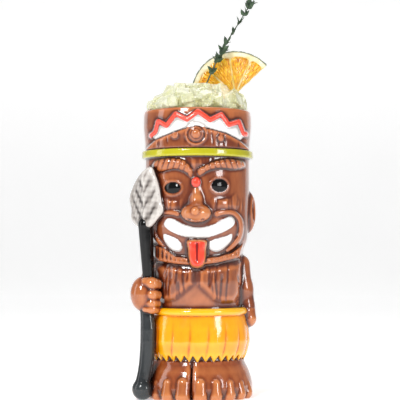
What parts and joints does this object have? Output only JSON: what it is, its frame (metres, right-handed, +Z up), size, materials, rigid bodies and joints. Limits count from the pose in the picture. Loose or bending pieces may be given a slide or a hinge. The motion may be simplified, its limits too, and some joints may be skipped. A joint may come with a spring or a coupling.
{
  "type": "tiki mug",
  "caption": "Glazed ceramic tumbler in the form of a standing figure with a spear, holding crushed ice, a citrus half wheel and a herb sprig.",
  "frame": {"origin": "on the vessel's axis at its underside, where it stands", "axes": "+Z up through the mouth, the figure faces -Y, +X is the figure's left"},
  "size_m": [0.0872, 0.0765, 0.2534],
  "materials": {
    "brown_glaze": "glossy, breaks lighter on edges",
    "tan_glaze": "glossy",
    "white_glaze": "glossy",
    "black_glaze": "glossy",
    "red_glaze": "glossy",
    "lime_glaze": "glossy",
    "amber_glaze": "glossy",
    "charcoal_glaze": "glossy",
    "stone_glaze": "glossy, veined",
    "crushed_ice": "wet, cloudy",
    "citrus_rind": "dried, matt",
    "citrus_pith": "dried, matt",
    "citrus_pulp": "dried, waxy",
    "herb_stem": "matt",
    "herb_leaf": "matt"
  },
  "bodies": {
    "mug": {"arm_left": "brown_glaze", "arm_right": "brown_glaze", "brow_left": "brown_glaze", "brow_right": "brown_glaze", "cheek_fold_left": "brown_glaze", "cheek_fold_right": "brown_glaze", "chest_left": "brown_glaze", "chest_right": "brown_glaze", "chin_fringe": "brown_glaze", "ear_left": "brown_glaze", "ear_right": "brown_glaze", "eye_left": "black_glaze", "eye_right": "black_glaze", "eyelid_left": "brown_glaze", "eyelid_right": "brown_glaze", "fingers_right": "tan_glaze", "fist_right": "tan_glaze", "foot_left": "tan_glaze", "foot_right": "tan_glaze", "forehead_dot": "red_glaze", "hand_left": "tan_glaze", "headband": "lime_glaze", "headdress_arch": "brown_glaze", "headdress_panel": "white_glaze", "lower_tooth_left": "white_glaze", "lower_tooth_right": "white_glaze", "nose": "tan_glaze", "nose_stud": "tan_glaze", "rosette": "brown_glaze", "rosette_stud_left": "brown_glaze", "rosette_stud_right": "brown_glaze", "skirt": "amber_glaze", "spear_butt": "charcoal_glaze", "spear_head": "stone_glaze", "spear_shaft_lower": "charcoal_glaze", "spear_shaft_upper": "black_glaze", "toes_left": "tan_glaze", "toes_right": "tan_glaze", "tongue": "red_glaze", "tongue_rim": "tan_glaze", "upper_teeth": "white_glaze", "vessel": "brown_glaze", "waistband": "amber_glaze", "zigzag_cord": "red_glaze"},
    "ice": {"crushed_ice": "crushed_ice"},
    "citrus": {"citrus_rind": "citrus_rind", "citrus_pith": "citrus_pith", "citrus_segments": "citrus_pulp"},
    "sprig": {"sprig_stem": "herb_stem", "sprig_leaves": "herb_leaf"}
  },
  "joints": [
    {"name": "ice_lift", "type": "slide", "parent": "mug", "child": "ice", "axis": [0, 0, 1], "range_m": [0, 0.09]},
    {"name": "citrus_lift", "type": "slide", "parent": "ice", "child": "citrus", "axis": [0, 0, 1], "range_m": [0, 0.04]},
    {"name": "sprig_pull", "type": "slide", "parent": "ice", "child": "sprig", "axis": [0.4069, 0, 0.9135], "range_m": [0, 0.04]}
  ]
}
